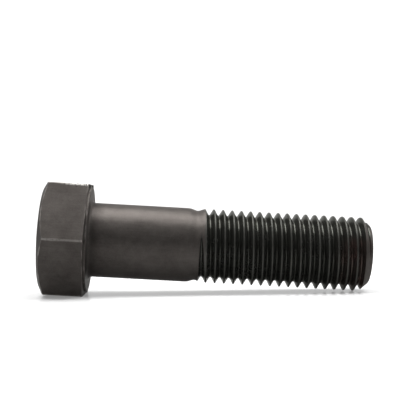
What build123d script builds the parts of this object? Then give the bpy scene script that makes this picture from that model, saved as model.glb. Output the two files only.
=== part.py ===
from build123d import *
from build123d.topology import SkipClean
from math import ceil, cos, radians, sin, sqrt, tan
import os

# M20 x 75 partly threaded hex head bolt, to the proportions of ISO 4014.
# Frame: origin at the centre of the under-head bearing face, +X along the shank to the point,
# +Z square to one of the wrench flats.

# Head
across_flats = 29.7           # 30 nominal, low in its tolerance
head_height = 12.7            # bearing face to top, 12.5 nominal, high in its tolerance
top_circle_d = 27.4           # flat circle left on the top by the chamfer
top_chamfer_angle = 28.0
washer_face_d = 28.2
washer_face_t = 0.6
washer_face_break = 0.15
edge_radius = 0.35            # rounded arris on the six long edges

# Shank
shank_d = 20.0
length = 75.6                 # bearing face to point, the longest that 75 mm may be
underhead_radius = 1.2        # foot on the largest transition circle, 22.4 across
neck_start = 25.95            # end of the full-diameter shank
neck_low = 28.75              # lowest part of the neck
neck_low_d = 18.8
neck_end = 31.25              # back at the full thread diameter

# Thread, M20 x 2.5 right hand
pitch = 2.5
thread_start = 30.55          # first full-depth groove, on the -Z side
root_radius = 0.125 * pitch
crest_break = 0.08            # depth of the rounding at each side of the crest
fade_turn = 0.36              # part of a turn over which the groove runs out at the neck
fade_lift = 1.75              # how far the groove climbs over that part of a turn
fade_steps = 8

# Point
point_d = 15.7
point_angle = 42.0            # from the axis
point_radius = 0.5

shank_r = shank_d / 2
flank_angle = radians(30)
v_bottom = shank_r - 7 / 8 * pitch * sqrt(3) / 2      # where the groove flanks would meet
inside = -2 * washer_face_t                           # joins reach this far into the head


def turned(outline):
    """Solid of revolution about the bolt axis from a closed outline in the XY plane."""
    return revolve(make_face(outline), Axis.X)


def head():
    """Hexagon with rounded long edges, cut by the chamfer cone on top."""
    hexagon = Plane.YZ * RegularPolygon(across_flats / 2, 6, major_radius=False)
    prism = extrude(Pos(-head_height, 0, 0) * hexagon, head_height - washer_face_t, dir=(1, 0, 0))
    prism = fillet(prism.edges().filter_by(Axis.X), edge_radius)
    reach = 0.7 * across_flats
    drop = (reach - top_circle_d / 2) * tan(radians(top_chamfer_angle))
    cone = Polyline(
        (-head_height, 0), (-head_height, top_circle_d / 2), (drop - head_height, reach),
        (0, reach), (0, 0), close=True,
    )
    return prism & turned(cone)


def washer_face():
    """Raised round face under the hexagon, with its rim broken."""
    r = washer_face_d / 2
    return turned(Polyline(
        (inside, 0), (inside, r), (-washer_face_break, r), (0, r - washer_face_break), (0, 0),
        close=True,
    ))


def blank():
    """Shank before threading: fillet under the head, shank, neck, thread blank and point."""
    r, low, point_r = shank_r, neck_low_d / 2, point_d / 2
    foot_r = r + underhead_radius
    point_start = length - (r - point_r) / tan(radians(point_angle))
    body = turned([
        Line((inside, 0), (inside, foot_r)),
        Line((inside, foot_r), (0, foot_r)),
        RadiusArc((0, foot_r), (underhead_radius, r), -underhead_radius),
        Line((underhead_radius, r), (neck_start, r)),
        Spline((neck_start, r), (neck_low, low), (neck_end, r), tangents=((1, 0), (1, 0))),
        Polyline((neck_end, r), (point_start, r), (length, point_r), (length, 0), (inside, 0)),
    ])
    rim = body.edges().filter_by(GeomType.CIRCLE).sort_by(Axis.X)[-1]
    return fillet(rim, point_radius)


def groove_section(lift=0.0):
    """Thread groove across its run: rounded root, 60 degree flanks and broken crest edges."""
    r, bottom = shank_r + lift, v_bottom + lift
    centre = bottom + root_radius / sin(flank_angle)
    root_side = (centre - root_radius * sin(flank_angle), root_radius * cos(flank_angle))
    shoulder = (r - crest_break, (r - crest_break - bottom) * tan(flank_angle))
    side = [root_side, shoulder, (r + 0.02, 0.48 * pitch), (r + 0.6, 0.48 * pitch)]
    far_side = [(u, -v) for u, v in side]
    outline = Polyline(*side, *reversed(far_side))
    return make_face([outline, ThreePointArc(side[0], (centre - root_radius, 0), far_side[0])])


def groove():
    """Cutters for the thread: full-depth turns past the point, and a fade out into the neck."""
    def stand(turn, lift=0.0):
        return Pos(0, 0, turn * pitch) * Rot(0, 0, 360 * turn) * Rot(-90, 0, 0) * groove_section(lift)

    one_turn = Helix(pitch, pitch, shank_r)
    turns = ceil((length - thread_start) / pitch) + 1
    path = Wire([(Pos(0, 0, turn * pitch) * one_turn).edge() for turn in range(turns)])
    full_depth = Solid.sweep(stand(0).face(), path, is_frenet=True)
    steps = [step / fade_steps for step in range(fade_steps + 1)]
    fade = Solid.make_loft(
        [stand(-fade_turn * s, fade_lift * s ** 2).face().outer_wire() for s in steps]
    )
    start = Plane(origin=(thread_start, 0, 0), x_dir=(0, 0, -1), z_dir=(1, 0, 0)).location
    return [start * full_depth, start * fade]


with SkipClean():       # keeps the thread faces split turn by turn
    bolt = blank() - groove() + [head(), washer_face()]

os.makedirs("parts", exist_ok=True)
export_step(bolt.solid(), "parts/bolt.step")
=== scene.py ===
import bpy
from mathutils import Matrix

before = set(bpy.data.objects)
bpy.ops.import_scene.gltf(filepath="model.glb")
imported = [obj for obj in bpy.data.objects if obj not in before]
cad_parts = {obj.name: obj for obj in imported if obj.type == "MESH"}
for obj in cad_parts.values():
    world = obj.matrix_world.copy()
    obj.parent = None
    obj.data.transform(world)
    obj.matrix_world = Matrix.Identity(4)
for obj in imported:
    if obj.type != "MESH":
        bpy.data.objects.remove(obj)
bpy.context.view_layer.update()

from types import SimpleNamespace
import math

import bmesh
import bpy
from mathutils import Matrix, Vector

scene = bpy.context.scene

# Sizes of the bolt that the material and the floor need, in metres
HEAD_TOP = -0.0127
WASHER_STEP = -0.0006       # where the hexagon ends and the washer face starts
WASHER_R = 0.0141
TOP_CIRCLE_R = 0.0137       # flat circle inside the chamfer on top of the head
CHAMFER = math.tan(math.radians(28))
FLAT = 0.01485              # from the axis to a wrench flat
SHANK_R = 0.010
NECK_START, NECK_LOW, NECK_END = 0.02595, 0.02875, 0.03125
NECK_DEPTH = 0.0006
POINT = 0.0756
POINT_R = 0.00785
POINT_SLOPE = math.tan(math.radians(42))

# Where the bolt rests: an edge of the head's lower flat, and the thread near the point
REST_X = POINT - 0.003

# Floor, in metres on the floor's own axes
FLOOR_NEAR, FLOOR_FAR, FLOOR_SIDE = -0.9, 0.55, 1.4
WALL_BEND, WALL_TALL = 0.35, 1.3


# ---------------------------------------------------------------- node helpers
class Nodes:
    """Short calls for building a shader tree."""

    def __init__(self, material):
        material.use_nodes = True
        self.tree = material.node_tree
        self.tree.nodes.clear()

    def add(self, kind, inputs=None, **settings):
        node = self.tree.nodes.new(kind)
        for key, value in settings.items():
            setattr(node, key, value)
        for key, value in (inputs or {}).items():
            self.feed(node.inputs[key], value)
        return node

    def feed(self, socket, value):
        if isinstance(value, bpy.types.NodeSocket):
            self.tree.links.new(value, socket)
        else:
            socket.default_value = value

    def math(self, operation, *values, clamp=False):
        node = self.add("ShaderNodeMath", operation=operation, use_clamp=clamp)
        for socket, value in zip(node.inputs, values):
            self.feed(socket, value)
        return node.outputs[0]

    def vector(self, operation, *values):
        node = self.add("ShaderNodeVectorMath", dict(enumerate(values)), operation=operation)
        return node.outputs["Value" if operation == "LENGTH" else "Vector"]

    def ramp(self, value, low, high, start=0.0, end=1.0):
        """value mapped smoothly from low..high to start..end."""
        node = self.add("ShaderNodeMapRange", {
            "Value": value, "From Min": low, "From Max": high, "To Min": start, "To Max": end,
        }, interpolation_type="SMOOTHSTEP")
        return node.outputs["Result"]

    def mix(self, factor, a, b, kind="RGBA"):
        """Colour a blended towards colour b."""
        node = self.add("ShaderNodeMix", {"Factor": factor, "A": a, "B": b}, data_type=kind)
        return node.outputs["Result"]

    def lerp(self, factor, a, b):
        """Number a blended towards number b."""
        return self.mix(factor, a, b, "FLOAT")

    def near(self, value, target, reach):
        """1 where value is at target, falling to 0 at reach from it."""
        return self.ramp(self.math("ABSOLUTE", self.math("SUBTRACT", value, target)), reach, 0.0)

    def chain(self, operation, values):
        out = values[0]
        for value in values[1:]:
            out = self.math(operation, out, value)
        return out

    def both(self, *masks):
        return self.chain("MULTIPLY", masks)

    def most(self, *masks):
        return self.chain("MAXIMUM", masks)

    def total(self, *values):
        return self.chain("ADD", values)

    def outside(self, mask):
        return self.math("SUBTRACT", 1.0, mask)

    def around(self, noise, amount):
        """noise centred on zero, times amount."""
        return self.math("MULTIPLY", self.math("SUBTRACT", noise, 0.5), amount)

    def noise(self, vector, scale, detail=3.0, roughness=0.55):
        node = self.add("ShaderNodeTexNoise", {
            "Scale": scale, "Detail": detail, "Roughness": roughness, "Vector": vector,
        })
        return node.outputs["Fac"]


def rgb(red, green, blue):
    return (red, green, blue, 1.0)


# ---------------------------------------------------------------- bolt material
def bolt_places(n):
    """Coordinates on the bolt, and a mask for each kind of place."""
    place = n.add("ShaderNodeTexCoord").outputs["Object"]
    x, y, z = n.add("ShaderNodeSeparateXYZ", {"Vector": place}).outputs
    r = n.math("SQRT", n.math("ADD", n.math("MULTIPLY", y, y), n.math("MULTIPLY", z, z)))
    at = SimpleNamespace(place=place, x=x, y=y, z=z, r=r)

    # reach towards the three pairs of flats: it tells how far the long edges are
    half_z = n.math("MULTIPLY", z, 0.5)
    side_y = n.math("MULTIPLY", y, math.sqrt(0.75))
    a = n.math("ABSOLUTE", z)
    b = n.math("ABSOLUTE", n.math("ADD", half_z, side_y))
    c = n.math("ABSOLUTE", n.math("SUBTRACT", half_z, side_y))
    largest = n.most(a, b, c)
    smallest = n.math("MINIMUM", a, n.math("MINIMUM", b, c))
    second = n.math("SUBTRACT", n.math("SUBTRACT", n.total(a, b, c), largest), smallest)
    at.to_corner = n.math("SUBTRACT", largest, second)
    at.to_cone = n.math("SUBTRACT", n.math("SUBTRACT", x, HEAD_TOP),
                        n.math("MULTIPLY", n.math("SUBTRACT", r, TOP_CIRCLE_R), CHAMFER))
    at.on_head = n.ramp(x, 0.0002, -0.0002)
    at.on_flat = n.both(n.ramp(largest, FLAT - 0.0004, FLAT - 0.0001), at.on_head)
    at.on_top = n.ramp(x, HEAD_TOP + 0.0003, HEAD_TOP + 0.0001)

    # depth under the outside of the shank, neck and point: it marks out the thread grooves
    dip = n.math("SUBTRACT", n.ramp(x, NECK_START, NECK_LOW), n.ramp(x, NECK_LOW, NECK_END))
    skin = n.math("SUBTRACT", SHANK_R, n.math("MULTIPLY", dip, NECK_DEPTH))
    cone = n.math("ADD", POINT_R, n.math("MULTIPLY", n.math("SUBTRACT", POINT, x), POINT_SLOPE))
    depth = n.math("SUBTRACT", n.math("MINIMUM", skin, cone), r)
    at.groove = n.both(n.ramp(depth, 0.00003, 0.00015), n.ramp(x, NECK_LOW, NECK_LOW + 0.0003),
                       n.ramp(r, POINT_R + 0.0002, POINT_R + 0.0005))
    at.on_thread = n.ramp(x, NECK_END - 0.0008, NECK_END)
    at.on_point = n.ramp(cone, SHANK_R + 0.0001, SHANK_R - 0.0002)
    return at


def bolt_noises(n, at):
    """Blotches, patches, fine grain, scuffs, and marks that follow how each face was made."""
    of = SimpleNamespace(
        blotch=n.noise(at.place, 150.0, 4.0, 0.6),
        patch=n.noise(at.place, 520.0, 5.0, 0.65),
        grain=n.noise(at.place, 3200.0, 3.0, 0.6),
        scuff=n.noise(at.place, 1300.0, 4.0, 0.6),
        wide=n.ramp(n.noise(at.place, 260.0, 3.0, 0.5), 0.46, 0.62),
    )
    along = n.noise(n.vector("MULTIPLY", at.place, (90.0, 1900.0, 1900.0)), 1.0)
    ring = n.add("ShaderNodeCombineXYZ", {
        "X": n.math("MULTIPLY", at.r, 4200.0), "Y": n.math("MULTIPLY", at.x, 2600.0),
    })
    turned = n.noise(ring.outputs[0], 1.0)
    lathe = n.most(n.both(at.on_head, n.outside(at.on_flat)), at.on_point)
    of.marks = n.lerp(lathe, along, turned)
    return of


def dent(n, at, of, centre):
    """Rough-edged mark round a point, longer across the bolt than along it."""
    offset = n.vector("MULTIPLY", n.vector("SUBTRACT", at.place, centre), (1.0, 0.3, 1.0))
    gap = n.total(n.vector("LENGTH", offset), n.around(of.scuff, 0.0012))
    return n.ramp(gap, 0.0009, 0.0006)


def bolt_wear_and_highlights(n, at, of):
    """Edges worn bright and broken up, and a rubbed and nicked top edge by the bearing face; the
    pale wear and rub also paint the highlight on the rounded edges.
    """
    wide = of.wide
    corner_ends = n.most(n.ramp(at.x, HEAD_TOP + 0.0035, HEAD_TOP + 0.0018),
                         n.ramp(at.x, -0.0030, -0.0008))
    corner = n.both(n.ramp(at.to_corner, n.lerp(wide, 0.00038, 0.00048), 0.0), at.on_flat,
                    n.lerp(corner_ends, 0.75, 1.0))
    arc = n.both(n.near(at.to_cone, 0.0, 0.00020), at.on_flat, n.lerp(wide, 0.2, 0.75))
    rim = n.both(n.near(at.r, TOP_CIRCLE_R, 0.0003), at.on_top, n.lerp(wide, 0.15, 0.5))
    lower_edge = n.both(n.ramp(at.x, WASHER_STEP - 0.0003, WASHER_STEP), at.on_flat,
                        n.lerp(wide, 0.0, 0.35))
    washer = n.both(n.near(at.r, WASHER_R, 0.00022), n.ramp(at.x, WASHER_STEP, -0.0002),
                    at.on_head, n.lerp(wide, 0.05, 0.4))
    uneven = n.ramp(of.scuff, 0.32, 0.52, 0.45, 1.0)
    wear_and_painted_highlight = n.both(n.most(corner, arc, rim, lower_edge, washer), uneven)

    near_bearing = n.ramp(at.x, -0.0085, -0.0030)
    rub_and_painted_highlight = n.both(n.ramp(at.to_corner, 0.0007, 0.0003), n.ramp(at.z, FLAT - 0.0009, FLAT - 0.0004),
                 at.on_head, n.ramp(of.scuff, 0.36, 0.46), near_bearing)
    nick = n.both(n.ramp(of.scuff, 0.54, 0.58), n.ramp(at.z, FLAT - 0.0016, FLAT - 0.0003),
                  n.ramp(at.to_corner, 0.0017, 0.0010), near_bearing, at.on_head)
    nick = n.most(nick, dent(n, at, of, (-0.0006, -0.0035, 0.0145)),
                  dent(n, at, of, (-0.0006, 0.0060, 0.0144)))
    return wear_and_painted_highlight, rub_and_painted_highlight, nick


def black_oxide():
    material = bpy.data.materials.new("black_oxide_steel")
    n = Nodes(material)
    at = bolt_places(n)
    of = bolt_noises(n, at)
    wear_and_painted_highlight, rub_and_painted_highlight, nick = bolt_wear_and_highlights(n, at, of)

    # colour: plain faces, thread crests, grooves darkened with painted shade and given a brown tint
    # by the point, and painted shade in the corner under the head
    tone = n.math("ADD", 0.5, n.total(n.around(of.blotch, 1.5), n.around(of.patch, 1.0),
                                      n.around(of.grain, 0.9), n.around(of.marks, 0.5)), clamp=True)
    body = n.mix(tone, rgb(0.0405, 0.0361, 0.0333), rgb(0.0695, 0.0628, 0.0584))
    crest = n.mix(tone, rgb(0.035, 0.0350, 0.0322), rgb(0.060, 0.0600, 0.0550))
    # painted shade: the grooves are coloured darker than the crests, for the shade that falls in
    # them
    painted_groove_shade_and_brown = n.mix(tone, rgb(0.026, 0.0265, 0.0235), rgb(0.044, 0.0445, 0.0400))
    brown = n.both(n.ramp(at.x, 0.064, 0.072, 0.0, 0.9), n.ramp(of.blotch, 0.44, 0.56, 0.4, 1.0),
                   n.ramp(at.z, 0.0055, 0.0030))
    painted_groove_shade_and_brown = n.mix(brown, painted_groove_shade_and_brown, rgb(0.070, 0.0440, 0.0390))
    outer = n.mix(n.both(at.on_thread, n.outside(at.on_point)), body, crest)
    colour = n.mix(at.groove, outer, painted_groove_shade_and_brown)
    # painted shade: the shank next to the head is darkened where the head shades it
    painted_corner_shade = n.both(n.ramp(at.x, 0.0002, 0.0007),
                  n.ramp(n.total(at.x, n.around(of.blotch, 0.0020)), 0.0048, 0.0008), 0.45)
    colour = n.mix(painted_corner_shade, colour, rgb(0.010, 0.0088, 0.0080))
    # wear and painted highlight: worn edges are painted pale, which also stands in for the
    # highlight on their rounding
    colour = n.mix(n.both(wear_and_painted_highlight, n.lerp(of.wide, 0.75, 0.95)), colour, rgb(0.25, 0.235, 0.22))
    # the rubbed top edge is painted paler still, partly wear and partly a painted highlight
    colour = n.mix(rub_and_painted_highlight, colour, rgb(0.42, 0.41, 0.39))
    colour = n.mix(n.both(nick, 0.8), colour, rgb(0.018, 0.0160, 0.0145))

    # gloss, with its strength at grazing angles
    rough = n.lerp(at.groove, n.lerp(at.on_head, 0.42, 0.47), 0.25)
    rough = n.total(rough, n.around(of.blotch, 0.16), n.around(of.patch, 0.12))
    rough = n.lerp(nick, n.lerp(wear_and_painted_highlight, rough, 0.34), 0.8)
    edge = n.mix(n.most(at.on_thread, at.on_head), rgb(0.65, 0.65, 0.65), rgb(0.70, 0.70, 0.68))
    chamfered = n.both(n.ramp(at.x, -0.0070, -0.0090), n.outside(at.on_flat))
    edge = n.mix(chamfered, edge, rgb(1.0, 1.0, 1.0))
    edge = n.mix(nick, edge, rgb(0.05, 0.05, 0.05))

    # relief
    height = n.total(n.both(of.grain, 0.5), n.both(of.patch, 0.9), n.both(of.marks, 0.3),
                     n.both(nick, -1.0))
    bump = n.add("ShaderNodeBump", {"Strength": 0.4, "Distance": 0.00004, "Height": height})
    shader = n.add("ShaderNodeBsdfPrincipled", {
        "Base Color": colour, "Roughness": rough, "Metallic": n.lerp(at.groove, 0.55, 0.72),
        "Normal": bump.outputs["Normal"], "Specular IOR Level": 0.0, "Specular Tint": edge,
    })
    n.add("ShaderNodeOutputMaterial", {"Surface": shader.outputs[0]})
    return material


finish = black_oxide()
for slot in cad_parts["bolt"].material_slots:
    slot.material = finish


# ---------------------------------------------------------------- floor, lights, camera
TILT = math.atan((FLAT - SHANK_R) / (REST_X - WASHER_STEP))
to_floor = Matrix.Translation((WASHER_STEP, 0, -FLAT)) @ Matrix.Rotation(-TILT, 4, "Y")


def floor_white():
    """White, partly lit from inside, with a gloss near the bolt that grows at low angles."""
    material = bpy.data.materials.new("floor_white")
    n = Nodes(material)
    matt = n.add("ShaderNodeBsdfPrincipled", {
        "Base Color": rgb(0.355, 0.355, 0.355), "Roughness": 0.6, "Specular IOR Level": 0.0,
        "Emission Color": rgb(1.0, 1.0, 1.0), "Emission Strength": 0.27,
    })
    sheen = n.add("ShaderNodeBsdfGlossy", {"Color": rgb(1.0, 1.0, 1.0), "Roughness": 0.06})
    gap = n.vector("LENGTH", n.add("ShaderNodeTexCoord").outputs["Object"])
    share = n.both(n.add("ShaderNodeFresnel", {"IOR": 1.45}).outputs[0],
                   n.ramp(gap, 0.60, 0.30, 0.0, 0.36))
    shader = n.add("ShaderNodeMixShader", {0: share, 1: matt.outputs[0], 2: sheen.outputs[0]})
    n.add("ShaderNodeOutputMaterial", {"Surface": shader.outputs[0]})
    return material


def sweep_floor():
    """Floor that curves up into a wall at the back and at the head end."""
    mesh = bmesh.new()
    angles = [math.radians(5 * i) for i in range(1, 19)]
    rise = [(WALL_BEND * math.sin(t), WALL_BEND - WALL_BEND * math.cos(t)) for t in angles]
    rise.append((WALL_BEND, WALL_TALL))

    def sheet(edge, other_edge):
        ends = [mesh.verts.new(edge[0]), mesh.verts.new(other_edge[0])]
        for points in zip(edge[1:], other_edge[1:]):
            new_ends = [mesh.verts.new(point) for point in points]
            mesh.faces.new(ends + new_ends[::-1])
            ends = new_ends

    back = [(FLOOR_NEAR, 0.0), (FLOOR_FAR, 0.0)] + [(FLOOR_FAR + out, up) for out, up in rise]
    sheet([(-FLOOR_SIDE, y, z) for y, z in back], [(FLOOR_SIDE, y, z) for y, z in back])
    left = [(-FLOOR_SIDE, 0.0)] + [(-FLOOR_SIDE - out, up) for out, up in rise]
    sheet([(x, FLOOR_FAR, z) for x, z in left], [(x, FLOOR_NEAR, z) for x, z in left])
    data = bpy.data.meshes.new("floor")
    mesh.to_mesh(data)
    for face in data.polygons:
        face.use_smooth = True
    data.materials.append(floor_white())
    floor = bpy.data.objects.new("floor", data)
    floor.matrix_world = to_floor
    scene.collection.objects.link(floor)


def area_light(name, place, target, size, power):
    """Soft light at a place above the floor, aimed at a target, both on the floor's axes."""
    data = bpy.data.lights.new(name, "AREA")
    data.shape = "RECTANGLE"
    data.size, data.size_y = size
    data.energy = power
    light = bpy.data.objects.new(name, data)
    aim = (Vector(target) - Vector(place)).to_track_quat("-Z", "Y").to_matrix().to_4x4()
    light.matrix_world = to_floor @ Matrix.Translation(place) @ aim
    scene.collection.objects.link(light)


def add_camera(place, ahead, right, lens):
    camera = bpy.data.objects.new("camera", bpy.data.cameras.new("camera"))
    camera.data.sensor_width = 36.0
    camera.data.lens = lens
    camera.data.clip_start, camera.data.clip_end = 0.01, 10
    ahead, right = Vector(ahead).normalized(), Vector(right)
    right = (right - ahead * right.dot(ahead)).normalized()
    turn = Matrix((right, right.cross(ahead), -ahead)).transposed().to_4x4()
    camera.matrix_world = Matrix.Translation(place) @ turn
    scene.collection.objects.link(camera)
    scene.camera = camera


sweep_floor()
area_light("overhead", (0.03, 0.03, 0.50), (0.03, 0.03, 0.0), (0.70, 0.32), 7.9)
area_light("side", (0.63, 0.25, 0.38), (0.05, 0.0, 0.0), (0.50, 0.40), 1.9)
area_light("front_fill", (0.03, -0.50, 0.50), (0.03, 0.0, 0.0), (0.80, 0.30), 0.38)
area_light("backdrop", (0.03, 0.35, 0.75), (0.03, 0.9, 0.3), (1.2, 0.4), 15.0)

world = bpy.data.worlds.new("studio")
world.use_nodes = True
background = world.node_tree.nodes["Background"]
background.inputs["Color"].default_value = rgb(1.0, 1.0, 1.0)
background.inputs["Strength"].default_value = 0.10
scene.world = world
scene.view_settings.view_transform = "Standard"

add_camera(place=(0.02317, -0.26959, 0.00920), ahead=(0.02203, 0.99969, 0.01163),
           right=(0.99822, -0.02264, 0.05511), lens=89.3)
